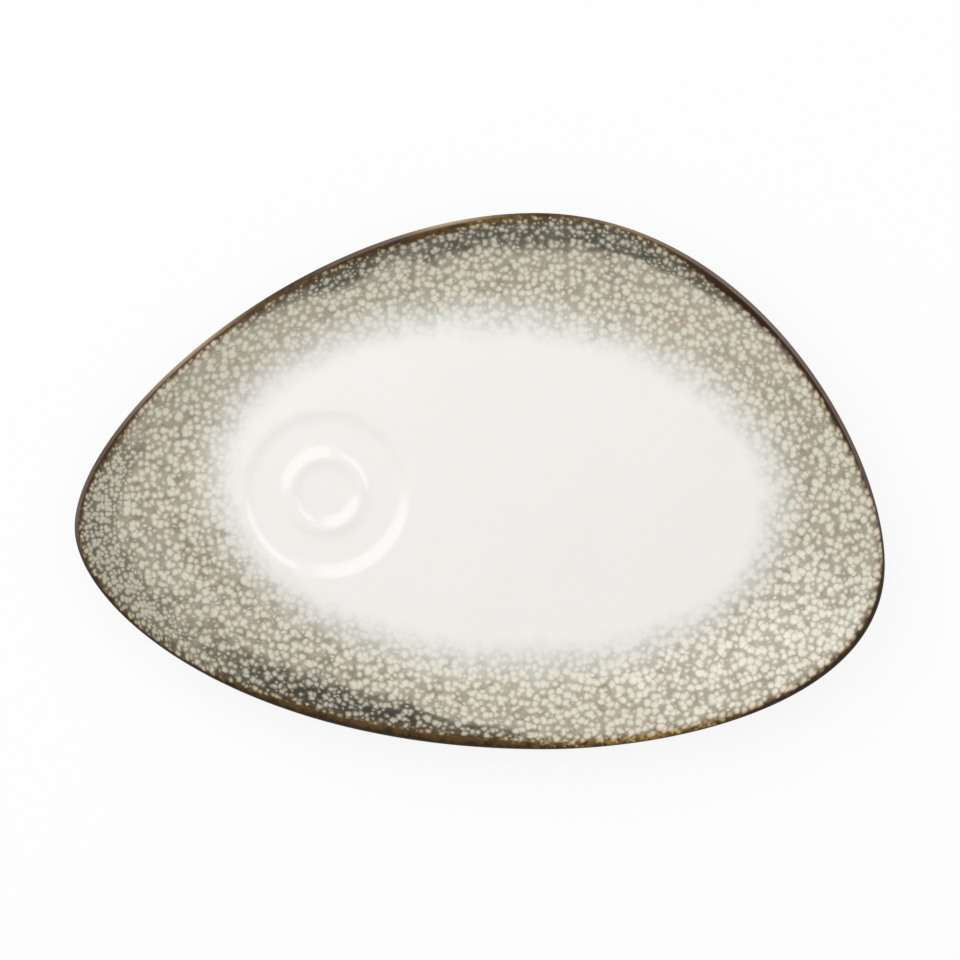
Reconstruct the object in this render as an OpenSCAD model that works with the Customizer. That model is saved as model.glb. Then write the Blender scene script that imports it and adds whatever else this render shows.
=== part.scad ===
// Tea serving plate: a pressed porcelain body and the glaze coats that are fired onto it.
// The outline is a pebble with a narrow tip on the left, where a round seat holds the tea glass.
// Millimetres. +X runs from the tip to the heel, +Y from the keel to the shoulder and +Z is up.
// The origin is under the middle of the outline's box, on the surface that the foot stands on.

/* [Outline] */
// Overall length, from the tip to the heel
plate_l = 290; // [260:1:340]
// Overall width, from the keel to the shoulder
plate_w = 192; // [176:1:230]
// Height in Y of the tip, the leftmost point of the outline
tip_y = -16.5; // [-30:0.5:10]
// Place in X of the shoulder, the topmost point of the outline
shoulder_x = 20; // [-10:0.5:40]
// Height in Y of the heel, the rightmost point of the outline
heel_y = -30; // [-40:0.5:10]
// Place in X of the keel, the lowest point of the outline
keel_x = 23; // [-10:0.5:40]
// Length of the curve handle above the tip
tip_up = 38.5; // [30:0.5:55]
// Length of the curve handle below the tip
tip_down = 29.5; // [25:0.5:45]
// Length of the curve handle left of the shoulder
shoulder_left = 81.5; // [60:0.5:95]
// Length of the curve handle right of the shoulder
shoulder_right = 76; // [55:0.5:90]
// Length of the curve handle above the heel
heel_up = 43.5; // [35:0.5:60]
// Length of the curve handle below the heel
heel_down = 49; // [30:0.5:60]
// Length of the curve handle right of the keel
keel_right = 48.5; // [40:0.5:75]
// Length of the curve handle left of the keel
keel_left = 108; // [75:0.5:115]

/* [Section] */
// Overall height, from the foot to the top of the lip
plate_h = 22; // [18:0.5:30]
// Thickness of the porcelain in the flat floor
floor_t = 5; // [4:0.1:7]
// Thickness of the porcelain at the lip, which is also the diameter of its half-round edge
lip_t = 4; // [3:0.1:6]
// Thickness of every glaze coat
glaze_t = 0.4; // [0.2:0.05:0.6]

/* [Floor] */
// Length of the flat floor
floor_l = 207; // [180:1:230]
// Width of the flat floor
floor_w = 122; // [105:1:140]
// Place in X of the middle of the floor's box
floor_x = 0.5; // [-10:0.5:10]
// Place in Y of the middle of the floor's box
floor_y = -1; // [-8:0.5:8]

/* [Foot] */
// Height of the foot ring, and so the depth of the recess inside it
foot_h = 2.5; // [1.5:0.1:4]
// Width of the foot ring at its root
foot_w = 5; // [4:0.1:8]
// How far each side of the foot leans in towards its standing face
foot_draft = 0.8; // [0.3:0.1:1.5]

/* [Glass seat] */
// Distance in X from the tip end of the floor to the edge of the recess
seat_gap = 16.5; // [14:0.5:100]
// Height in Y of the seat's centre above the tip end of the floor
seat_lift = 7; // [0:0.5:8]
// Diameter of the recess where it meets the floor
seat_d = 62; // [56:0.5:70]
// Width of the sloping wall between the floor and the ground of the recess
seat_wall = 5; // [3:0.1:8]
// Depth of the recess below the floor
seat_depth = 1.1; // [0.8:0.1:1.6]
// Diameter of the crest of the ridge that centres the glass
ridge_d = 25.5; // [18:0.5:30]
// Width of the ridge at its root
ridge_w = 8; // [5:0.1:10]
// Depth of the ridge's crest below the floor
ridge_drop = 0.3; // [0.1:0.05:0.6]

/* [Hidden] */

// Facets of the free-form surfaces: along a quarter of the outline, across the rim, round the lip
quarter_steps = 24;
rim_steps = 8;
lip_steps = 6;
// Facets of each flank of the seat's wall and ridge
flank_steps = 6;
// How far a cutting tool stands clear of the face that it cuts
cut_clear = 1;
// How far the seat's section runs on over the level floor round it
seat_lap = 1;
$fn = 96;

porcelain_colour = [0.90, 0.88, 0.83];
white_colour = [0.94, 0.93, 0.90];
speckle_colour = [0.66, 0.62, 0.54];
iron_colour = [0.26, 0.17, 0.10];
cream_colour = [0.83, 0.80, 0.73];

floor_z = foot_h + floor_t;
mid_z = foot_h + floor_t / 2;
lip_r = lip_t / 2;
rim_rise = plate_h - glaze_t - lip_r - mid_z;
ring_points = 4 * quarter_steps;
every_point = [0 : ring_points - 1];

function unit(v) = v / norm(v);

// The outline: four cubic curves, each from one outermost point to the next, counter-clockwise
heel = [plate_l / 2, heel_y];
shoulder = [shoulder_x, plate_w / 2];
tip = [-plate_l / 2, tip_y];
keel = [keel_x, -plate_w / 2];
quarters = [
    [heel, heel + [0, heel_up], shoulder + [shoulder_right, 0], shoulder],
    [shoulder, shoulder - [shoulder_left, 0], tip + [0, tip_up], tip],
    [tip, tip - [0, tip_down], keel - [keel_left, 0], keel],
    [keel, keel + [keel_right, 0], heel - [0, heel_down], heel],
];

// Point of a cubic curve with control points q, at t from 0 to 1
function curve_point(q, t) =
    (1 - t) ^ 3 * q[0] + 3 * t * (1 - t) ^ 2 * q[1] + 3 * t ^ 2 * (1 - t) * q[2] + t ^ 3 * q[3];

// Direction in which that curve runs at t
function curve_run(q, t) =
    unit((1 - t) ^ 2 * (q[1] - q[0]) + 2 * t * (1 - t) * (q[2] - q[1]) + t ^ 2 * (q[3] - q[2]));

// The outline's points, and the line inside it that the lip's half-round edge is swept along
outline = [for (q = quarters, i = [0 : quarter_steps - 1]) curve_point(q, i / quarter_steps)];
lip_line = [
    for (q = quarters, i = [0 : quarter_steps - 1])
        let (t = i / quarter_steps, run = curve_run(q, t))
            curve_point(q, t) - (lip_r + glaze_t) * [run.y, -run.x]
];

// Place of a point of the outline when the outline is fitted into the floor's box, drawn in by a margin
function on_floor(p, margin) = [
    floor_x + p.x * (floor_l - 2 * margin) / plate_l,
    floor_y + p.y * (floor_w - 2 * margin) / plate_w
];
function floor_line(margin) = [for (p = outline) on_floor(p, margin)];
well_line = floor_line(0);
foot_line = floor_line(foot_w);
seat_centre = on_floor(tip, 0) + [seat_gap + seat_d / 2, seat_lift];

// The rim's middle surface: v is 0 on the lip line and 1 at the edge of the floor,
// and the height falls as a parabola that runs out level into the floor
function mid_point(i, v) =
    let (p = (1 - v) * lip_line[i] + v * well_line[i])
        [p.x, p.y, mid_z + rim_rise * (1 - v) ^ 2];

// Run of the middle surface round the plate, its fall towards the floor, and its upward normal
function around(i, v) =
    unit(mid_point((i + 1) % ring_points, v) - mid_point((i + ring_points - 1) % ring_points, v));
function inward(i, v) =
    let (p = well_line[i] - lip_line[i]) [p.x, p.y, -2 * rim_rise * (1 - v)];
function upward(i, v) = unit(cross(around(i, v), inward(i, v)));

// Point on the upper face (side 1) or the underside (side -1) of the rim, a coat away from the porcelain
function rim_point(i, v, side, coat) =
    let (wall = lip_t + (floor_t - lip_t) * v)
        mid_point(i, v) + side * (wall / 2 + coat) * upward(i, v);

// Point on the half-round lip: a is 0 where it leaves the upper face and 180 where it meets the underside
function lip_point(i, a, coat) =
    let (up = upward(i, 0))
        mid_point(i, 0) + (lip_r + coat) * (cos(a) * up + sin(a) * cross(around(i, 0), up));

// Closed rings of points: across the rim out to the lip, round the lip, and at one level
function rim_rings(side, coat) =
    [for (j = [0 : rim_steps]) [for (i = every_point) rim_point(i, 1 - j / rim_steps, side, coat)]];
function lip_rings(coat) =
    [for (j = [0 : lip_steps]) [for (i = every_point) lip_point(i, 180 * j / lip_steps, coat)]];
function level_ring(line, z) = [for (p = line) [p.x, p.y, z]];
function backwards(list) = [for (j = [len(list) - 1 : -1 : 0]) list[j]];
function without_ends(list) = [for (j = [1 : len(list) - 2]) list[j]];

// Solid whose section is the loop that the rings pass through in turn
module loop_solid(rings) {
    loops = len(rings);
    polyhedron(
        points = [for (ring = rings, p = ring) p],
        faces = [
            for (j = [0 : loops - 1], i = every_point)
                let (
                    a = j * ring_points,
                    b = (j + 1) % loops * ring_points,
                    k = (i + 1) % ring_points
                )
                    each [[a + i, a + k, b + i], [a + k, b + k, b + i]]
        ]
    );
}

// Height of the seat above the floor at a radius: a smooth wall, level ground and a smooth ridge
ground_r = seat_d / 2 - seat_wall;
lap_r = seat_d / 2 + seat_lap;
ridge_r = ridge_d / 2;
function smooth(from, to, r) =
    let (t = min(1, max(0, (r - from) / (to - from)))) (1 - cos(180 * t)) / 2;
function seat_height(r) =
    seat_depth * (smooth(ground_r, seat_d / 2, r) - 1)
    + (seat_depth - ridge_drop) * (1 - smooth(0, ridge_w / 2, abs(r - ridge_r)));

// Section of the seat from its axis to the level floor round it, lifted by a coat
function flank(from, to) = [for (i = [1 : flank_steps]) from + (to - from) * i / flank_steps];
seat_radii = concat(
    [0, ridge_r - ridge_w / 2],
    flank(ridge_r - ridge_w / 2, ridge_r),
    flank(ridge_r, ridge_r + ridge_w / 2),
    [ground_r],
    flank(ground_r, seat_d / 2),
    [lap_r]
);
function seat_section(coat) = [for (r = seat_radii) [r, seat_height(r) + coat]];

// Porcelain: the lofted rim with its half-round lip and its foot, the flat floor and the sunk seat
module porcelain_body() {
    color(porcelain_colour)
        difference() {
            union() {
                loop_solid(concat(
                    [level_ring(foot_line, floor_z)],
                    rim_rings(1, 0),
                    without_ends(lip_rings(0)),
                    backwards(rim_rings(-1, 0)),
                    [
                        level_ring(floor_line(foot_draft), 0),
                        level_ring(floor_line(foot_w - foot_draft), 0),
                        level_ring(foot_line, foot_h),
                    ]
                ));
                translate([0, 0, foot_h])
                    linear_extrude(floor_t)
                        polygon(foot_line);
            }
            translate([seat_centre.x, seat_centre.y, floor_z])
                rotate_extrude()
                    polygon(concat(seat_section(0), [[lap_r, cut_clear], [0, cut_clear]]));
        }
}

// White glaze on the floor, which follows the seat down
module well_glaze() {
    color(white_colour)
        translate([0, 0, floor_z]) {
            difference() {
                linear_extrude(glaze_t)
                    polygon(well_line);
                translate([seat_centre.x, seat_centre.y, -cut_clear])
                    cylinder(d = seat_d, h = glaze_t + 2 * cut_clear);
            }
            translate([seat_centre.x, seat_centre.y, 0])
                rotate_extrude()
                    polygon(concat(seat_section(0), backwards(seat_section(glaze_t))));
        }
}

// Speckled glaze sprayed over the upper face of the rim
module rim_glaze() {
    color(speckle_colour)
        loop_solid(concat(rim_rings(1, glaze_t), backwards(rim_rings(1, 0))));
}

// Iron-brown glaze drawn round the half-round lip
module lip_glaze() {
    color(iron_colour)
        loop_solid(concat(lip_rings(glaze_t), backwards(lip_rings(0))));
}

// Glaze on the underside, from the lip to the root of the foot
module underside_glaze() {
    color(cream_colour)
        loop_solid(concat(backwards(rim_rings(-1, glaze_t)), rim_rings(-1, 0)));
}

// Glaze on the ceiling of the recess inside the foot
module base_glaze() {
    color(white_colour)
        translate([0, 0, foot_h - glaze_t])
            linear_extrude(glaze_t)
                polygon(foot_line);
}

porcelain_body();
well_glaze();
rim_glaze();
lip_glaze();
underside_glaze();
base_glaze();
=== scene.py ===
"""Tea serving plate: pressed porcelain under its coats of glaze, made around the plate's own solids."""
from types import SimpleNamespace

import bpy
import numpy as np
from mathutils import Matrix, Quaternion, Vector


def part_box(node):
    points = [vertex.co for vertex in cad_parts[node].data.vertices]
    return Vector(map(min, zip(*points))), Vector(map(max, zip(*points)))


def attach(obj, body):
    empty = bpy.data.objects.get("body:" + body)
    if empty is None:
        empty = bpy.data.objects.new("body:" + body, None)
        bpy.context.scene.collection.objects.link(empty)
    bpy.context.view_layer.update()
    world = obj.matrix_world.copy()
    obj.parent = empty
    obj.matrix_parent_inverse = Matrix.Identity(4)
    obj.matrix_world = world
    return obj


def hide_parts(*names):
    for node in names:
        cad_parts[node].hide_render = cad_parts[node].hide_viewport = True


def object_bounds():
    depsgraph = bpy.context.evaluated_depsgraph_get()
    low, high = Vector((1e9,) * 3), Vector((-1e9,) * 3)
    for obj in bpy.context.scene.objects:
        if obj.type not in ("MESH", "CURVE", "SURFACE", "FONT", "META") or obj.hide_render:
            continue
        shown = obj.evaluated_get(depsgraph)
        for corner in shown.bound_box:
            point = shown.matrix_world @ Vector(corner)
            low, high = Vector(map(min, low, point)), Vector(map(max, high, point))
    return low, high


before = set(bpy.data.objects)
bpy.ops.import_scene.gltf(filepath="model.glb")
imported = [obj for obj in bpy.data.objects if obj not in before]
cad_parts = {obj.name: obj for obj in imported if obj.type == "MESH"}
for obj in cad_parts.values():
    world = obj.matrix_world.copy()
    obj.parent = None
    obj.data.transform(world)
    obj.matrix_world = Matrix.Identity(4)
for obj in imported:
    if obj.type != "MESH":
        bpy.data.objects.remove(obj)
cad_low, cad_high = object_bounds()


# Pressed porcelain body.
# White porcelain, pressed between two dies and fired: a curved rim with a half-round lip, a level floor with
# a sunk seat for the tea glass, and a foot ring. Every glaze is fired onto it, and only the foot is bare.

# Sizes in metres, from the solids. Facets leave their box a little short, so it is taken to the millimetre.
plate_l, plate_w, plate_h = (round(side, 3) for side in cad_high - cad_low)
floor_low, floor_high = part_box("well_glaze")
recess_low, recess_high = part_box("base_glaze")
glaze_t = recess_high.z - recess_low.z
foot_h = recess_high.z
foot_w = (floor_high.x - floor_low.x - recess_high.x + recess_low.x) / 2
floor_z = floor_high.z - glaze_t
floor_t = floor_z - foot_h
lip_t = 0.004
lip_r = lip_t / 2
mid_z = foot_h + floor_t / 2
rim_rise = plate_h - glaze_t - lip_r - mid_z

# The outline's outermost points, and the lengths of the curve handles on both sides of each
heel = np.array([plate_l / 2, -0.030])
shoulder = np.array([0.020, plate_w / 2])
tip = np.array([-plate_l / 2, -0.0165])
keel = np.array([0.023, -plate_w / 2])
heel_up, heel_down = 0.0435, 0.049
shoulder_left, shoulder_right = 0.0815, 0.076
tip_up, tip_down = 0.0385, 0.0295
keel_left, keel_right = 0.108, 0.0485
quarter_steps = 120


def pebble_outline():
    """Points and outward normals of the outline. Each quarter is a cubic curve, the Bernstein sum of its
    four control points, and the normal is the curve's run turned a quarter clockwise."""
    x, y = np.eye(2)
    quarters = np.array([
        [heel, heel + heel_up * y, shoulder + shoulder_right * x, shoulder],
        [shoulder, shoulder - shoulder_left * x, tip + tip_up * y, tip],
        [tip, tip - tip_down * y, keel - keel_left * x, keel],
        [keel, keel + keel_right * x, heel - heel_down * y, heel],
    ])
    t = np.arange(quarter_steps) / quarter_steps
    s = 1 - t
    weight = np.stack([s ** 3, 3 * t * s ** 2, 3 * t ** 2 * s, t ** 3], 1)
    change = np.stack([-s ** 2, s ** 2 - 2 * t * s, 2 * t * s - t ** 2, t ** 2], 1)
    points = np.einsum("tk,qkc->qtc", weight, quarters).reshape(-1, 2)
    run = np.einsum("tk,qkc->qtc", change, quarters).reshape(-1, 2)
    run /= np.linalg.norm(run, axis=1, keepdims=True)
    return points, np.stack([run[:, 1], -run[:, 0]], 1)


def floor_line(margin):
    """The outline fitted into the floor's box, drawn in by a margin on every side."""
    middle = (np.array(floor_low) + np.array(floor_high))[:2] / 2
    size = (np.array(floor_high) - np.array(floor_low))[:2] - 2 * margin
    return middle + outline * size / np.array([plate_l, plate_w])


outline, outward = pebble_outline()
lip_line = outline - (lip_r + glaze_t) * outward
well_line = floor_line(margin=0)
well_tip = well_line[2 * quarter_steps]

# The glass seat: a recess with a sloping wall and a low ridge that centres the glass, both on soft fillets
seat_gap, seat_lift = 0.0165, 0.007
seat_d, seat_wall = 0.062, 0.005
seat_depth = floor_z - floor_low.z
ridge_d, ridge_w, ridge_drop = 0.0255, 0.008, 0.0003
wall_fillet, ridge_fillet = 0.0025, 0.0022
seat_centre = well_tip + np.array([seat_gap + seat_d / 2, seat_lift])


def swell(low, high, x):
    """Half a cosine wave that rises from 0 at low to 1 at high, level at both ends."""
    return (1 - np.cos(np.pi * np.clip((x - low) / (high - low), 0, 1))) / 2


def seat_height(radius):
    """Height over the floor at a radius from the seat's centre: the wall's fall and, on the ground, the
    ridge. Both are swells squared, so that they leave the ground in a long fillet and turn over at the
    top."""
    wall = swell(seat_d / 2 - seat_wall - wall_fillet, seat_d / 2, radius) ** 2
    ridge = swell(ridge_w / 2 + ridge_fillet, 0, np.abs(radius - ridge_d / 2)) ** 2
    return seat_depth * (wall - 1) + (seat_depth - ridge_drop) * ridge


def floor_face(coat, seat_rings, open_rings):
    """Rings on the floor, a coat above the porcelain: circles over the seat, which open out evenly from the
    seat's edge to the floor's edge, at the floor's height plus the seat's section."""
    spoke = well_line - seat_centre
    reach = np.linalg.norm(spoke, axis=1)
    circles = np.linspace(0, seat_d / 2, seat_rings + 1)[1:, None] + 0 * reach
    opening = np.linspace(0, 1, open_rings + 1)[1:, None]
    radius = np.concatenate([circles, seat_d / 2 + opening * (reach - seat_d / 2)])
    place = seat_centre + radius[..., None] * (spoke / reach[:, None])
    return np.dstack([place, floor_z + coat + seat_height(radius)])


def rim_frame(v):
    """Middle surface of the rim, with its upward normal and its run round the plate. v is 0 on the lip line
    and 1 at the floor, and the height falls as a parabola that runs out level. The normal is the cross
    product of the run and the fall."""
    v = np.asarray(v, float)[:, None, None]
    rise = mid_z + rim_rise * (1 - v) ** 2 + 0 * lip_line[None, :, :1]
    middle = np.concatenate([(1 - v) * lip_line + v * well_line, rise], 2)
    run = np.roll(middle, -1, 1) - np.roll(middle, 1, 1)
    run /= np.linalg.norm(run, axis=2, keepdims=True)
    fall = np.concatenate([0 * v + well_line - lip_line, 0 * rise - 2 * rim_rise * (1 - v)], 2)
    up = np.cross(run, fall)
    return middle, up / np.linalg.norm(up, axis=2, keepdims=True), run


def rim_face(v, side, coat):
    """Rings on the rim's upper face (side 1) or underside (side -1): half the wall and a coat off the middle
    surface, along its normal. The wall thickens evenly from the lip to the floor."""
    middle, up, _ = rim_frame(v)
    wall = lip_t + (floor_t - lip_t) * np.asarray(v, float)[:, None, None]
    return middle + side * (wall / 2 + coat) * up


def lip_face(angle, coat):
    """Rings on the half-round lip: a circle about the lip line, at angles in degrees from 0 on the upper
    face to 180 on the underside."""
    middle, up, run = rim_frame([0])
    turn = np.radians(angle)[:, None, None]
    return middle + (lip_r + coat) * (np.cos(turn) * up + np.sin(turn) * np.cross(run, up))


foot_bluntness = 0.36


def foot_face(steps):
    """Rings over the foot: a blunt superellipse that runs from its outer root, across the standing face, to
    its inner root."""
    turn = np.linspace(0, np.pi, steps + 2)[1:-1]
    across = np.sign(np.cos(turn)) * np.abs(np.cos(turn)) ** foot_bluntness
    height = foot_h * (1 - np.sin(turn) ** foot_bluntness)
    plan = np.stack([floor_line(foot_w / 2 * (1 - share)) for share in across])
    return np.dstack([plan, height[:, None] + 0 * plan[..., 0]])


def level_face(line, z, shares):
    """Level rings at a height: a line drawn in towards its own middle by each share."""
    middle = line.mean(0)
    plan = middle + np.asarray(shares, float)[:, None, None] * (line - middle)
    return np.dstack([plan, np.full(plan.shape[:2], z)])


# Degrees by which a face has to turn from the next for their edge to stay sharp
sharp_turn = 50


def fired_mesh(name, rings, poles=None, fields=None):
    """Closed mesh over a stack of rings that starts on top and runs outwards: quads join each ring to the
    next. The stack ends in a pole at each end or, without poles, in its own first ring. Fields become point
    attributes, and a pole takes the mean of the ring beside it."""
    count, points = rings.shape[:2]
    number = np.arange(count * points).reshape(count, points)
    stack = number if poles is not None else np.concatenate([number, number[:1]])
    ahead = np.roll(stack, -1, 1)
    faces = np.stack([stack[:-1], stack[1:], ahead[1:], ahead[:-1]], -1).reshape(-1, 4).tolist()
    corners = rings.reshape(-1, 3)
    if poles is not None:
        top = np.full(points, number.size)
        faces += np.column_stack([top, number[0], np.roll(number[0], -1)]).tolist()
        faces += np.column_stack([number[-1], top + 1, np.roll(number[-1], -1)]).tolist()
        corners = np.concatenate([corners, poles])
    mesh = bpy.data.meshes.new(name)
    mesh.from_pydata(corners.tolist(), [], faces)
    mesh.shade_smooth()
    mesh.set_sharp_from_angle(angle=np.radians(sharp_turn))
    for title, values in (fields or {}).items():
        numbers = values.reshape(count * points, -1)
        if poles is not None:
            numbers = np.concatenate([numbers, values[[0, -1]].mean(1).reshape(2, -1)])
        kind, entry = ("FLOAT", "value") if values.ndim == 2 else ("FLOAT_VECTOR", "vector")
        attribute = mesh.attributes.new(title, kind, "POINT")
        attribute.data.foreach_set(entry, numbers.astype(np.float32).ravel())
    return mesh


class Wire:
    """An output socket of a material. Arithmetic on it adds Math nodes, and node() adds any other node."""

    def __init__(self, tree, socket=None):
        self.tree = tree
        self.socket = socket

    def node(self, kind, settings, inputs, output=0):
        """New node of a kind: its settings first, then the values or links of its sockets. Gives one of the
        node's outputs."""
        node = self.tree.nodes.new(kind)
        for title, value in settings.items():
            setattr(node, title, value)
        for title, value in inputs.items():
            if isinstance(value, Wire):
                self.tree.links.new(value.socket, node.inputs[title])
            else:
                node.inputs[title].default_value = value
        return Wire(self.tree, node.outputs[output] if node.outputs else None)

    def beside(self, output):
        """Another output of the same node."""
        return Wire(self.tree, self.socket.node.outputs[output])

    def math(self, operation, *values):
        """Math node of an operation on wires and numbers."""
        return self.node("ShaderNodeMath", {"operation": operation}, dict(enumerate(values)))

    def __add__(self, other):
        return self.math("ADD", self, other)

    def __sub__(self, other):
        return self.math("SUBTRACT", self, other)

    def __rsub__(self, other):
        return self.math("SUBTRACT", other, self)

    def __mul__(self, other):
        return self.math("MULTIPLY", self, other)

    __radd__ = __add__
    __rmul__ = __mul__


mm_per_metre = 1000.0


def place_mm(wire):
    """Place on the piece, in millimetres."""
    place = wire.node("ShaderNodeTexCoord", {}, {}, "Object")
    return wire.node("ShaderNodeVectorMath", {"operation": "SCALE"}, {0: place, "Scale": mm_per_metre})


def ease(value, low, high):
    """Smooth step from 0 at low to 1 at high."""
    ends = {"Value": value, "From Min": low, "From Max": high}
    return value.node("ShaderNodeMapRange", {"interpolation_type": "SMOOTHSTEP"}, ends)


# Sockets of a colour Mix node: the amount, the colours under and over, and the result
mix_amount, mix_under, mix_over, mix_result = 0, 6, 7, 2


def tint(under, over, amount):
    """One colour laid over another by an amount from 0 to 1."""
    sockets = {mix_amount: amount, mix_under: under, mix_over: over}
    return amount.node("ShaderNodeMix", {"data_type": "RGBA"}, sockets, mix_result)


def cloud(place, size, detail=2.0):
    """Soft noise from 0 to 1 whose blotches are about one size, in millimetres."""
    return place.node("ShaderNodeTexNoise", {}, {"Vector": place, "Scale": 1 / size, "Detail": detail})


def fired_finish(name, finish, ior):
    """Material whose colour, roughness and relief, in millimetres, come from a finish."""
    material = bpy.data.materials.new(name)
    material.use_nodes = True
    material.node_tree.nodes.clear()
    wire = Wire(material.node_tree)
    colour, roughness, relief = finish(wire)
    bump = {"Strength": 1.0, "Distance": 1 / mm_per_metre, "Height": relief}
    normal = wire.node("ShaderNodeBump", {}, bump)
    looks = {"Base Color": colour, "Roughness": roughness, "Normal": normal, "IOR": ior}
    shader = wire.node("ShaderNodeBsdfPrincipled", {}, looks)
    wire.node("ShaderNodeOutputMaterial", {}, {"Surface": shader})
    return material


def set_piece(mesh, material, node):
    """Shows a mesh in place of a solid, with the material of its slot."""
    piece = bpy.data.objects.new(mesh.name, mesh)
    bpy.context.scene.collection.objects.link(piece)
    mesh.materials.append(material)
    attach(piece, "root")
    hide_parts(node)


biscuit_white = (0.74, 0.70, 0.62, 1)
biscuit_worn = (0.52, 0.48, 0.41, 1)


def bare_biscuit(wire):
    """Unglazed porcelain: chalky, with a fine grain and grey rubbed patches."""
    place = place_mm(wire)
    grain = cloud(place, size=0.25, detail=3.0)
    tone_mask = ease(cloud(place, size=9.0, detail=4.0), 0.5, 0.75)
    colour = tint(biscuit_white, biscuit_worn, tone_mask * 0.45 + ease(grain, 0.55, 0.8) * 0.2)
    roughness = 0.72 + 0.15 * grain
    relief = 0.02 * grain
    return colour, roughness, relief


rim_steps, lip_steps, foot_steps = 16, 12, 24
body_rings = np.concatenate([
    floor_face(coat=0, seat_rings=32, open_rings=4),
    rim_face(np.linspace(1, 0, rim_steps + 1)[1:], side=1, coat=0),
    lip_face(np.linspace(0, 180, lip_steps + 1)[1:-1], coat=0),
    rim_face(np.linspace(0, 1, rim_steps + 1), side=-1, coat=0),
    foot_face(foot_steps),
    level_face(floor_line(foot_w), foot_h, shares=[1, 0.5]),
])
body_poles = np.array([
    [*seat_centre, floor_z + seat_height(0.0)],
    [*well_line.mean(0), foot_h],
])
set_piece(
    fired_mesh("pressed_porcelain", body_rings, body_poles),
    fired_finish("bare_porcelain", bare_biscuit, ior=1.5),
    "porcelain_body",
)


# White glaze in the recess under the foot.
# A clear-bright warm white glaze, poured over the level ceiling inside the foot ring and wiped off the foot.
# It is fused to the porcelain, and shows faint clouds and a few iron specks.
glaze_white = (0.865, 0.855, 0.820, 1)
glaze_shade = (0.820, 0.810, 0.775, 1)
iron_speck = (0.25, 0.20, 0.14, 1)
white_cloud, speck_gap = 26.0, 9.0


def recess_glaze(wire):
    """Warm white glaze with faint clouds, rare iron specks and a slight ripple."""
    place = place_mm(wire)
    speck = place.node("ShaderNodeTexVoronoi", {}, {"Vector": place, "Scale": 1 / speck_gap})
    colour = tint(glaze_white, glaze_shade, ease(cloud(place, white_cloud, detail=3.0), 0.35, 0.75))
    colour = tint(colour, iron_speck, (1 - ease(speck, 0.012, 0.035)) * 0.6)
    ripple = cloud(place, size=4.0)
    roughness = 0.14 + 0.1 * ripple
    relief = 0.02 * ripple
    return colour, roughness, relief


recess_line = floor_line(foot_w)
recess_middle = recess_line.mean(0)
recess_steps = 12
recess_shares = np.linspace(0, 1, recess_steps + 1)[1:]
recess_rings = np.concatenate([
    level_face(recess_line, foot_h, recess_shares),
    level_face(recess_line, foot_h - glaze_t, recess_shares[::-1]),
])
recess_poles = np.array([
    [*recess_middle, foot_h],
    [*recess_middle, foot_h - glaze_t],
])
set_piece(
    fired_mesh("recess_coat", recess_rings, recess_poles),
    fired_finish("recess_white_glaze", recess_glaze, ior=1.52),
    "base_glaze",
)


# Cream glaze on the underside of the rim.
# A dipped cream glaze from the foot out to the lip, where the iron glaze of the lip was sprayed on over it
# and runs down in a ragged brown band.

# Where the glaze changes round the plate, and where the lamps leave a painted reflection and a painted
# highlight on the lip's outer edge: angle from the heel's side and spread in degrees, and strength
amber_stretches = (
    (85, 12, 0.6),
    (150, 14, 0.3),
    (286, 12, 0.6),
    (307, 14, 1.0),
)
# Painted reflection of the lamps on the lip's outer edge, partly the glaze's own mauve
mauve_reflection_stretches = (
    (4, 12, 0.4),
    (31, 22, 1.0),
    (118, 12, 0.6),
    (160, 10, 0.4),
    (172, 8, 0.4),
    (184, 6, 0.6),
)
# Painted highlight of the lamps on the lip's outer edge
tan_highlight_stretches = (
    (58, 11, 0.5),
    (97, 10, 1.0),
    (156, 11, 0.8),
)
# The same for the width of the iron glaze, in millimetres on top of its least width
iron_least = 1.85
iron_stretches = (
    (14, 12, 0.9),
    (38, 13, 2.0),
    (62, 12, -0.8),
    (85, 8, 0.4),
    (104, 14, 1.5),
    (140, 20, 0.7),
    (175, 8, 0.8),
    (210, 16, -1.1),
    (229, 8, 0.9),
    (253, 25, 1.8),
    (275, 10, 0.6),
    (296, 13, 0.6),
    (334, 9, 0.6),
    (353, 7, -1.2),
)
# The same for how pale the glaze is between the drops, against its even tone: partly the glaze's own tone
# and partly painted light and shade round the rim, lighter above zero and darker below
pale_and_lit_stretches = (
    (0, 16, -0.1),
    (35, 16, 0.16),
    (92, 34, -0.10),
    (147, 18, 0.22),
    (197, 20, -0.3),
    (230, 30, -0.3),
    (325, 28, 0.1),
    (343, 8, -0.2),
)
# Slate clouds: angle and spread in degrees, inset from the outline and depth in millimetres, and strength
slate_clouds = (
    (42, 9, 4.0, 4.0, 1.05),
    (56, 11, 5.0, 6.0, 0.8),
    (77, 16, 5.0, 9.0, 0.9),
    (100, 10, 4.0, 8.0, 0.9),
    (123, 11, 4.0, 6.5, 1.05),
    (142, 11, 3.0, 4.0, 0.65),
    (187, 12, 3.0, 7.0, 0.5),
    (205, 12, 2.0, 2.5, 0.45),
    (193, 10, 12.0, 8.0, 0.35),
    (210, 12, 12.0, 8.0, 0.33),
    (231, 14, 6.0, 8.0, 1.5),
    (251, 11, 4.0, 8.0, 1.4),
    (270, 12, 3.5, 4.5, 1.1),
)
# Where the drops are fine, and where they lie dense and white under a painted reflection of the left lamp:
# angle and spread in degrees. The fine ones thin out between two insets from the outline, in millimetres.
fine_angle, fine_spread = 190, 18
fine_full, fine_gone = 8, 20
dense_lit_angle, dense_lit_spread = 325, 32
# The white ellipse that the spray leaves bare: its middle and half axes in millimetres, and its turn
bare_middle = np.array([6.4, -3.2])
bare_half = np.array([104.5, 65.0])
bare_turn = np.radians(-4.6)
spoke_out = (lip_line - well_line) / np.linalg.norm(lip_line - well_line, axis=1, keepdims=True)


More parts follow.
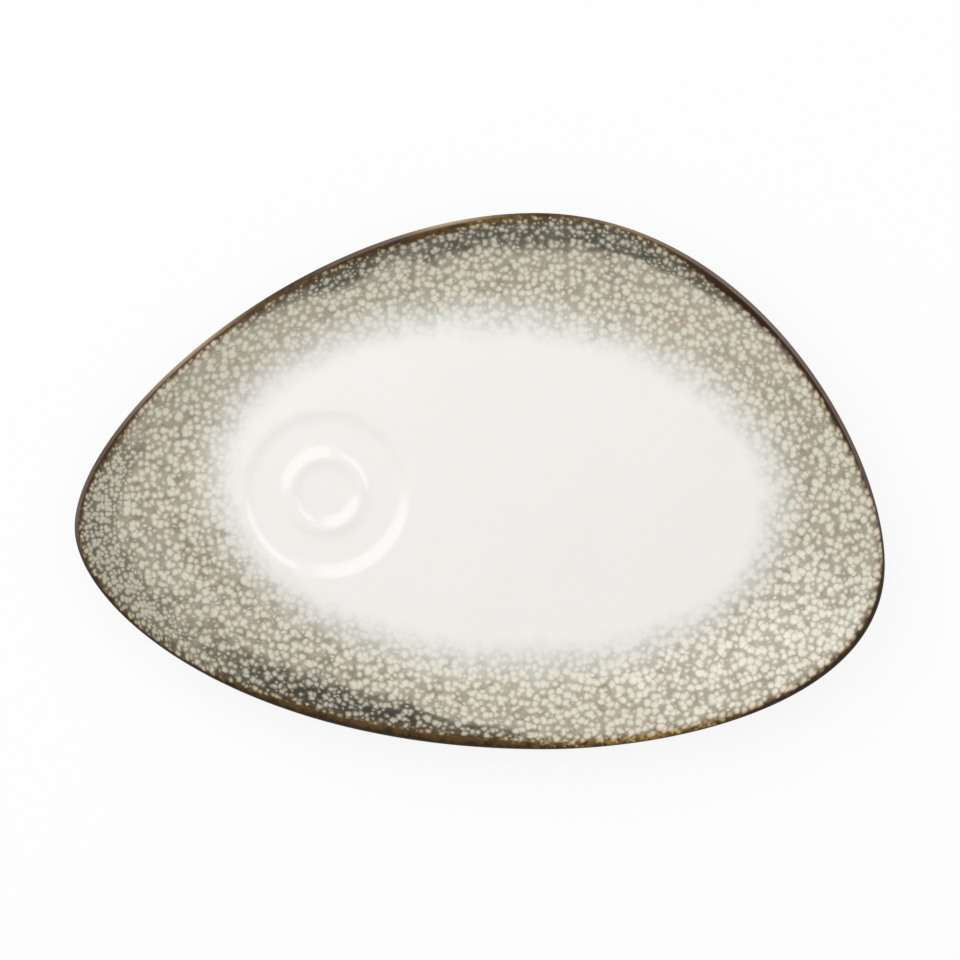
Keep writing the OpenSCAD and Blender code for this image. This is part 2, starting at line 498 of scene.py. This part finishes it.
def glaze_fields(rings, side=1, way=None):
    """How the glazes lie at each point: its inset from the outline, which is below zero on the underside,
    its distance outside the bare ellipse, along the ray from the middle, and bells of angle, or of angle and
    inset, for the other changes. Its place if the rim were rolled out flat is the floor's edge and its way
    up the rim from there."""
    plan = rings[..., :2]
    flat = plan if way is None else well_line + way[..., None] * spoke_out
    inset = mm_per_metre * np.linalg.norm(plan - outline, axis=-1)
    angle = np.degrees(np.arctan2(plan[..., 1], plan[..., 0]))

    def bell(middle, spread):
        """Bell of the angle about a middle, the short way round the plate."""
        return np.exp(-(((angle - middle + 180) % 360 - 180) / spread) ** 2)

    def stretches(places):
        """Sum of the bells of some stretches, each times its strength."""
        return sum(strength * bell(middle, spread) for middle, spread, strength in places)

    slate = sum(
        strength * bell(middle, spread) * np.exp(-np.abs((inset - deep) / depth) ** 3)
        for middle, spread, deep, depth, strength in slate_clouds
    )
    away = mm_per_metre * plan - bare_middle
    lean = np.array([
        [np.cos(bare_turn), -np.sin(bare_turn)],
        [np.sin(bare_turn), np.cos(bare_turn)],
    ])
    reach = np.linalg.norm(away, axis=-1)
    return {
        "flat": mm_per_metre * np.dstack([flat, 0 * inset]),
        "inset": side * inset,
        "spray": reach - reach / np.linalg.norm(away @ lean / bare_half, axis=-1),
        "slate": slate,
        "amber": np.clip(stretches(amber_stretches), 0, 1),
        # Where the lip's outer edge has a painted reflection and a painted highlight of the lamps
        "mauve_and_reflection": np.clip(stretches(mauve_reflection_stretches), 0, 1),
        "tan": np.clip(stretches(tan_highlight_stretches), 0, 1),
        "edge": iron_least + stretches(iron_stretches),
        "fine": bell(fine_angle, fine_spread) * (1 - swell(fine_full, fine_gone, inset)),
        # Dense white drops, partly a painted reflection of the left lamp; pale stretches, partly painted
        # light and shade
        "dense_and_lit": bell(dense_lit_angle, dense_lit_spread),
        "pale": stretches(pale_and_lit_stretches),
    }


def field(wire, title, output="Fac"):
    """A field of the glaze, read from the piece's points."""
    return wire.node("ShaderNodeAttribute", {"attribute_name": title}, {}, output)


iron_black = (0.024, 0.011, 0.002, 1)
iron_brown = (0.080, 0.042, 0.009, 1)
iron_amber = (0.265, 0.140, 0.014, 1)
# Gold: the glaze's golden mottling and painted glints. Mauve: its own mauve and a painted reflection of the
# lamps. Tan: a painted highlight.
iron_gold_and_glint = (0.560, 0.430, 0.220, 1)
iron_mauve_and_reflection = (0.225, 0.170, 0.145, 1)
iron_tan_highlight = (0.430, 0.320, 0.200, 1)
iron_line = (0.020, 0.004, 0.000, 1)
# Insets from the outline, in millimetres, between which each tone of the iron glaze comes in or goes out,
# its painted reflection, painted highlight and partly painted glints included
brown_in, golden_glint_in, line_in = (0.4, 2.2), (0.2, 1.0), (1.2, 1.7)
mauve_reflection_in, mauve_reflection_out = (-0.6, 0.8), (1.25, 1.8)
tan_highlight_in, tan_highlight_out = (-0.5, 0.2), (0.6, 1.8)


def iron_colour(wire, place, inset):
    """The lip's iron glaze: black at the outer edge and brown in streaks inside it, and amber where it is
    thin, with golden spots that are partly its own mottling and partly painted glints. Where the outer edge
    faces the lamps it has a painted mauve-grey reflection, partly the glaze's own mauve, with a black line
    inside it where it is thick, and a painted tan highlight."""
    amber = field(wire, "amber")
    inner = ease(inset + 0.9 * amber, *brown_in)
    streaks = ease(cloud(place, size=2.6) + 0.3 * inner, 0.55, 0.90)
    colour = tint(iron_black, iron_brown, streaks)
    thin = ease(cloud(place, size=2.2, detail=1.0) + 0.3 * inner + 0.3 * amber, 0.78, 1.35)
    colour = tint(colour, iron_amber, thin * amber)
    # Golden spots: partly the glaze's golden mottling, partly painted glints
    golden_and_glint = ease(cloud(place, size=1.8, detail=1.0) + 0.2 * amber, 0.64, 0.94) * ease(inset, *golden_glint_in)
    colour = tint(colour, iron_gold_and_glint, golden_and_glint * amber)
    mauve_and_reflection = field(wire, "mauve_and_reflection") * (0.65 + 0.7 * cloud(place, size=6.0, detail=3.0))
    colour = tint(colour, iron_line, ease(inset, *line_in) * mauve_and_reflection)
    # Painted mauve-grey reflection of the lamps on the outer edge, partly the glaze's own mauve
    outer = (1 - ease(inset, *mauve_reflection_out)) * ease(inset, *mauve_reflection_in)
    colour = tint(colour, iron_mauve_and_reflection, outer * mauve_and_reflection * 0.85)
    # Painted tan highlight of the lamps on the outer edge, where it faces them
    tone_mask = (1 - ease(inset, *tan_highlight_out)) * ease(inset, *tan_highlight_in)
    return tint(colour, iron_tan_highlight, tone_mask * field(wire, "tan"))


cream_glaze = (0.70, 0.665, 0.585, 1)
cream_pool = (0.60, 0.565, 0.48, 1)
# The iron band and the freckles beyond it, in millimetres: the insets over which they come in, how far they
# stray, and how far apart the freckles lie
band_in, band_stray = (-8.0, -2.5), 7.0
freckle_in, freckle_stray, freckle_gap = (-16.0, 2.0), 14.0, 2.4


def underside_finish(wire):
    """Cream glaze with soft pools and freckles, under a ragged band of iron glaze that thins away from the
    lip."""
    place = place_mm(wire)
    inset = field(wire, "inset")
    ragged = cloud(place, size=5.0, detail=4.0)
    band = ease(inset + band_stray * (ragged - 0.5), *band_in)
    nearest = place.node("ShaderNodeTexVoronoi", {}, {"Vector": place, "Scale": 1 / freckle_gap})
    chance = place.node("ShaderNodeSeparateColor", {}, {"Color": nearest.beside("Color")})
    freckles = ease(0.45 * chance - nearest, -0.04, 0.10) * ease(inset + freckle_stray * ragged, *freckle_in)
    colour = tint(cream_glaze, cream_pool, ease(cloud(place, size=18.0, detail=3.0), 0.4, 0.7))
    colour = tint(colour, iron_brown, freckles * 0.55)
    colour = tint(colour, iron_colour(wire, place, inset), band)
    roughness = 0.2 + 0.15 * ragged
    relief = 0.03 * ragged
    return colour, roughness, relief


# Shares of the way down the rim, close together on the face that shows and far apart on the hidden one
shown_steps, hidden_steps = 40, 8
rim_span = np.linspace(0, 1, shown_steps + 1)
rim_span_hidden = np.linspace(0, 1, hidden_steps + 1)
underside_rings = np.concatenate([
    rim_face(rim_span, side=-1, coat=glaze_t),
    rim_face(rim_span_hidden[::-1], side=-1, coat=0),
])
set_piece(
    fired_mesh("underside_coat", underside_rings, fields=glaze_fields(underside_rings, side=-1)),
    fired_finish("underside_cream_glaze", underside_finish, ior=1.35),
    "underside_glaze",
)


# White glaze in the well.
# The same warm white glaze, poured over the floor and following the glass seat down. The speckled spray of
# the rim drifts a little way onto it, so it is shaded by the same function as the rim.
taupe = (0.390, 0.350, 0.263, 1)
taupe_rose = (0.352, 0.293, 0.220, 1)
taupe_olive = (0.165, 0.150, 0.095, 1)
slate_black = (0.018, 0.014, 0.002, 1)
slate_dark = (0.057, 0.050, 0.026, 1)
slate_pale = (0.130, 0.120, 0.084, 1)
drop_cream = (0.735, 0.685, 0.550, 1)
drop_cool = (0.705, 0.690, 0.570, 1)
drop_peach = (0.720, 0.620, 0.500, 1)
drop_white_and_lit = (0.815, 0.785, 0.695, 1)
drop_gold = (0.560, 0.430, 0.230, 1)
mist_green = (0.405, 0.435, 0.330, 1)
# Sizes in millimetres of the glaze's noises and drops, and how far soft noise pushes the drops about
blotch_size, mottle_size, hue_size, push_size = 11.0, 4.5, 5.0, 2.4
large_drop, small_drop = 2.65, 1.75
large_push, small_push = 1.8, 0.9
# Spans in millimetres past the iron glaze's inner edge: the iron and its stain go out, and the drops come in
iron_out, stain_out, drop_in = (-0.4, 1.1), (-0.5, 3.5), (-0.5, 0.7)
# Span in millimetres from the outline, over which the drops come in too
lip_clear = (0.6, 1.3)
# Spans in millimetres outside the bare ellipse, over which the drops take shape and the spray comes in
melt_span, spray_span = (-13.0, -2.0), (-13.2, 10.8)
# The drops' share of the glaze, to which they melt
mean_cover = 0.45


def glaze_lie(wire):
    """How the reactive glaze lies on a piece: its place, fields and noises, where it is thick and turns
    slate, and where the iron of the lip runs into it and stains it."""
    place = place_mm(wire)
    inset = field(wire, "inset")
    blotch = cloud(place, blotch_size, detail=3.0)
    mottle = cloud(place, mottle_size)
    past_edge = inset + 1.2 * (mottle - 0.5) - field(wire, "edge")
    thickness = field(wire, "slate")
    return SimpleNamespace(
        place=place,
        inset=inset,
        past_edge=past_edge,
        blotch=blotch,
        mottle=mottle,
        flat=field(wire, "flat", "Vector"),
        pale=field(wire, "pale"),
        fine=ease(field(wire, "fine"), 0.25, 0.70),
        dense_and_lit=field(wire, "dense_and_lit"),
        slate=ease(thickness + 0.7 * (mottle - 0.5) + 0.4 * (blotch - 0.5), 0.15, 0.85),
        thickest=ease(thickness, 0.9, 1.5),
        iron=1 - ease(past_edge, *iron_out),
        stain=1 - ease(past_edge, *stain_out),
    )


def pushed(glaze, reach):
    """The flat place pushed about by soft noise, up to about half a reach in millimetres."""
    noise = {"Vector": glaze.place, "Scale": 1 / push_size, "Detail": 1.0}
    noise_middle = (0.5, 0.5, 0.5)
    push = glaze.place.node("ShaderNodeTexNoise", {}, noise, "Color")
    push = push.node("ShaderNodeVectorMath", {"operation": "SUBTRACT"}, {0: push, 1: noise_middle})
    push = push.node("ShaderNodeVectorMath", {"operation": "SCALE"}, {0: push, "Scale": reach})
    return push.node("ShaderNodeVectorMath", {"operation": "ADD"}, {0: glaze.flat, 1: push})


def drops(flat, size, radius, merge):
    """Drops of about one size: soft domes about scattered points, out to a radius in shares of the size that
    differs from drop to drop, which run together where the points lie close. Also the depth inside a drop
    and its random numbers."""
    points = {"Vector": flat, "Scale": 1 / size, "Smoothness": merge, "Randomness": 0.97}
    nearest = flat.node("ShaderNodeTexVoronoi", {"voronoi_dimensions": "2D", "feature": "SMOOTH_F1"}, points)
    chance = flat.node("ShaderNodeSeparateColor", {}, {"Color": nearest.beside("Color")})
    depth = radius + 0.30 * (chance - 0.5) - nearest
    return ease(depth, -0.22, 0.40), depth, chance


def drop_cover(wire, glaze):
    """Where drops cover the glaze: large ones that run together, and small ones where they leave room, all
    pushed about so that none is a true circle. They stop short of the iron, but for a few that stray onto
    it. Also the depth inside the large drops and their random numbers."""
    # Drops grow a little in the dense stretch, which is partly a painted reflection of the left lamp
    shrink = 0.09 * glaze.slate + 0.07 * glaze.slate * glaze.stain + 0.60 * glaze.fine - 0.04 * glaze.dense_and_lit
    large_radius = 0.46 + 0.14 * (glaze.blotch - 0.5) - shrink
    small_radius = 0.32 + 0.22 * glaze.fine - 0.20 * glaze.fine * glaze.stain
    large, depth, chance = drops(pushed(glaze, large_push), large_drop, large_radius, merge=0.25)
    small, _, luck = drops(pushed(glaze, small_push), small_drop, small_radius, merge=0.2)
    room = 1 - ease(depth - 0.25 * glaze.fine, -0.30, -0.12)
    room = room * ease(glaze.fine + luck.beside("Green"), 0.50, 0.65)
    cover = large.math("MAXIMUM", large, small * room)
    stray = ease(chance.beside("Blue"), 0.45, 0.70) * (0.2 + 0.5 * field(wire, "amber"))
    cover = cover * ease(glaze.past_edge + 1.2 * stray, *drop_in) * ease(glaze.inset, *lip_clear)
    return cover, depth, chance


def between_colour(wire, glaze, depth, sprayed):
    """The glaze between the drops: taupe with patches of rose and olive, most olive close to the drops,
    slate where it is thick, cream where it is pale and more olive where it is dark, both partly painted
    light and shade, green where the spray thins, and iron at the lip."""
    colour = tint(taupe, taupe_rose, 1 - ease(glaze.blotch, 0.32, 0.46))
    # The pale stretches take olive away above zero and add it below: partly painted light and shade
    olive_and_shade = glaze.mottle + 0.10 * ease(depth, -0.42, -0.14) + 0.68 * glaze.fine - 0.5 * glaze.pale
    colour = tint(colour, taupe_olive, ease(olive_and_shade, 0.50, 1.00) * 0.8)
    thick = tint(slate_dark, slate_pale, ease(glaze.blotch, 0.4, 0.7))
    thick = tint(thick, slate_black, glaze.thickest)
    colour = tint(colour, thick, glaze.slate)
    # Cream along the pale stretches: partly painted light
    colour = tint(colour, drop_cream, ease(glaze.pale, 0.0, 1.0))
    colour = tint(colour, mist_green, (1 - sprayed) * 0.7)
    colour = tint(colour, iron_brown, glaze.stain * 0.8)
    return tint(colour, iron_colour(wire, glaze.place, glaze.inset), glaze.iron)


def drop_colour(glaze, chance):
    """The drops: cream or cool in patches, white where they lie dense, which is partly a painted reflection
    of the left lamp, peach in patches and beside the iron, dull where the glaze is fine and where it is
    dark, which is partly painted shade, greyer on slate, and gold at the iron."""
    hue = cloud(glaze.place, hue_size, detail=1.0) + 0.3 * (chance - 0.5)
    colour = tint(drop_cream, drop_cool, ease(hue, 0.50, 0.70))
    # Whiter drops in the dense stretch: partly a painted reflection of the left lamp
    white = ease(glaze.dense_and_lit + 0.6 * (chance.beside("Green") - 0.5), 0.45, 1.20)
    colour = tint(colour, drop_white_and_lit, white)
    peach = (1 - ease(hue, 0.28, 0.42)) * 0.7 + glaze.stain * (1 - glaze.slate) * 0.8
    colour = tint(colour, drop_peach, peach)
    # Duller drops where the pale stretches fall below zero: partly painted shade
    dull_and_shaded = (1 - ease(glaze.pale, -1.0, 0.0)) * 0.7 + 0.26 * glaze.fine
    colour = tint(colour, taupe, dull_and_shaded)
    colour = tint(colour, slate_pale, glaze.slate * 0.24 + glaze.thickest * 0.08)
    return tint(colour, drop_gold, glaze.iron * 0.6 + glaze.stain * 0.25)


def speckled_finish(wire):
    """The reactive glaze: cream drops afloat on taupe, slate clouds near the lip, iron at the edge, and a
    spray that thins out towards the well, last between the drops, which melt through a green mist into the
    white."""
    glaze = glaze_lie(wire)
    cover, depth, chance = drop_cover(wire, glaze)
    spray = field(wire, "spray") + 9.0 * (glaze.blotch - 0.5) + 6.5 * (glaze.mottle - 0.5)
    cover = mean_cover + ease(spray, *melt_span) * (cover - mean_cover)
    sprayed = ease(spray + 2.2 * (mean_cover - cover), *spray_span)
    between = between_colour(wire, glaze, depth, sprayed)
    speckled = tint(between, drop_colour(glaze, chance), cover)
    white = tint(glaze_white, glaze_shade, ease(cloud(glaze.place, white_cloud, detail=3.0), 0.4, 0.8) * 0.2)
    colour = tint(white, speckled, sprayed)
    colour = tint(colour, mist_green, sprayed * (1 - sprayed) * 0.4)
    roughness = 0.15 + 0.09 * sprayed + 0.08 * cover * sprayed + 0.25 * glaze.iron
    relief = 0.025 * cover * sprayed + 0.01 * glaze.mottle
    return colour, roughness, relief


speckled_glaze = fired_finish("speckled_glaze", speckled_finish, ior=1.52)
well_rings = np.concatenate([
    floor_face(coat=glaze_t, seat_rings=56, open_rings=16),
    floor_face(coat=0, seat_rings=24, open_rings=4)[::-1],
])
well_poles = np.array([
    [*seat_centre, floor_z + glaze_t + seat_height(0.0)],
    [*seat_centre, floor_z + seat_height(0.0)],
])
set_piece(
    fired_mesh("well_coat", well_rings, well_poles, glaze_fields(well_rings)),
    speckled_glaze,
    "well_glaze",
)


# Speckled glaze on the rim.
# A reactive glaze sprayed over the upper face of the rim: it breaks in the kiln into cream drops on taupe,
# with dark slate clouds where it lies thick under the lip.


def way_along(rings, start):
    """Way from the start to each ring along every spoke: the sum of the steps between the rings."""
    steps = np.diff(rings, axis=0, prepend=rings[:1])
    return start + np.cumsum(np.linalg.norm(steps, axis=2), axis=0)


rim_rings = np.concatenate([
    rim_face(rim_span[::-1], side=1, coat=glaze_t),
    rim_face(rim_span_hidden, side=1, coat=0),
])
rim_way = way_along(rim_rings, start=0)
set_piece(
    fired_mesh("rim_coat", rim_rings, fields=glaze_fields(rim_rings, way=rim_way)),
    speckled_glaze,
    "rim_glaze",
)


# Iron glaze on the lip.
# A dark iron glaze, banded round the half-round lip by brush. It breaks black, brown and amber, and runs
# into the speckled glaze inside it.
lip_shown_steps = 36
lip_turn = np.linspace(0, 180, lip_shown_steps + 1)
lip_turn_hidden = np.linspace(0, 180, lip_steps + 1)
lip_rings = np.concatenate([
    lip_face(lip_turn, coat=glaze_t),
    lip_face(lip_turn_hidden[::-1], coat=0),
])
lip_way = way_along(lip_rings, start=rim_way[len(rim_span) - 1])
lip_side = np.where(lip_rings[..., 2] < mid_z + rim_rise, -1, 1)
set_piece(
    fired_mesh("lip_coat", lip_rings, fields=glaze_fields(lip_rings, lip_side, lip_way)),
    fired_finish("lip_iron_glaze", speckled_finish, ior=1.25),
    "lip_glaze",
)


# Studio.
# A plain pale floor, an even white room, two soft lamps behind the plate to its left and right, and a camera
# that looks straight down on it.
floor_half = 4.0
floor_pale = (0.92, 0.92, 0.92, 1)
floor_lift = 0.86
pure_white = (1, 1, 1, 1)


def seen(wire):
    """1 on the rays that show the background, straight or in a reflection, and 0 on those that light the
    plate."""
    ray = wire.node("ShaderNodeLightPath", {}, {}, "Is Camera Ray")
    return ray.math("MAXIMUM", ray + ray.beside("Is Glossy Ray"), ray.beside("Is Transmission Ray"))


def studio_floor(name):
    """Level square with a pale matt face, lifted towards white for what sees it, so that the shadow stays
    soft."""
    mesh = bpy.data.meshes.new(name)
    corners = floor_half * np.array([[-1, -1, 0], [1, -1, 0], [1, 1, 0], [-1, 1, 0]])
    mesh.from_pydata(corners.tolist(), [], [[0, 1, 2, 3]])
    material = bpy.data.materials.new(name)
    material.use_nodes = True
    material.node_tree.nodes.clear()
    wire = Wire(material.node_tree)
    matt = wire.node("ShaderNodeBsdfDiffuse", {}, {"Color": floor_pale})
    white = wire.node("ShaderNodeEmission", {}, {"Strength": 1.0})
    mixed = wire.node("ShaderNodeMixShader", {}, {0: seen(wire) * floor_lift, 1: matt, 2: white})
    wire.node("ShaderNodeOutputMaterial", {}, {"Surface": mixed})
    mesh.materials.append(material)
    floor = bpy.data.objects.new(name, mesh)
    bpy.context.scene.collection.objects.link(floor)


def white_room(name, light):
    """World that lights the plate evenly, and is white where it is seen."""
    room = bpy.data.worlds.new(name)
    room.use_nodes = True
    room.node_tree.nodes.clear()
    wire = Wire(room.node_tree)
    even = wire.node("ShaderNodeBackground", {}, {"Color": pure_white, "Strength": light})
    white = wire.node("ShaderNodeBackground", {}, {"Color": pure_white, "Strength": 1.0})
    mixed = wire.node("ShaderNodeMixShader", {}, {0: seen(wire), 1: even, 2: white})
    wire.node("ShaderNodeOutputWorld", {}, {"Surface": mixed})
    bpy.context.scene.world = room


def soft_lamp(name, place, width, height, roll, power):
    """Flat lamp at a place, turned to face the plate with its width level, and then rolled about its own
    axis by some degrees."""
    lamp = bpy.data.lights.new(name, "AREA")
    lamp.shape = "RECTANGLE"
    lamp.size, lamp.size_y = width, height
    lamp.energy = power
    holder = bpy.data.objects.new(name, lamp)
    holder.location = place
    facing = (-holder.location).to_track_quat("-Z", "Y")
    holder.rotation_euler = (facing @ Quaternion((0, 0, 1), np.radians(roll))).to_euler()
    bpy.context.scene.collection.objects.link(holder)


studio_floor("studio_floor")
soft_lamp("lamp_left", place=(-0.518, 0.518, 1.008), width=1.04, height=1.04, roll=45, power=6.3)
soft_lamp("lamp_right", place=(0.404, 0.364, 1.115), width=0.7, height=0.25, roll=0, power=1.3)
white_room("white_room", light=0.655)

# The lens and height at which the plate's length, at the level of the lip's edge, fills the same share of
# the frame as in the photograph, and the point over which the camera stands
lens, sensor = 0.135, 0.036
plate_px, frame_px = 809.2, 960
plate_share = plate_px / frame_px
edge_drop = 0.004
view_x, view_y = 0.0001, 0.0004
camera = bpy.data.cameras.new("overhead_camera")
camera.lens, camera.sensor_width = mm_per_metre * lens, mm_per_metre * sensor
camera_holder = bpy.data.objects.new("overhead_camera", camera)
camera_holder.location = (view_x, view_y, plate_h - edge_drop + plate_l / plate_share * lens / sensor)
bpy.context.scene.collection.objects.link(camera_holder)
bpy.context.scene.camera = camera_holder
bpy.context.scene.view_settings.view_transform = "Standard"
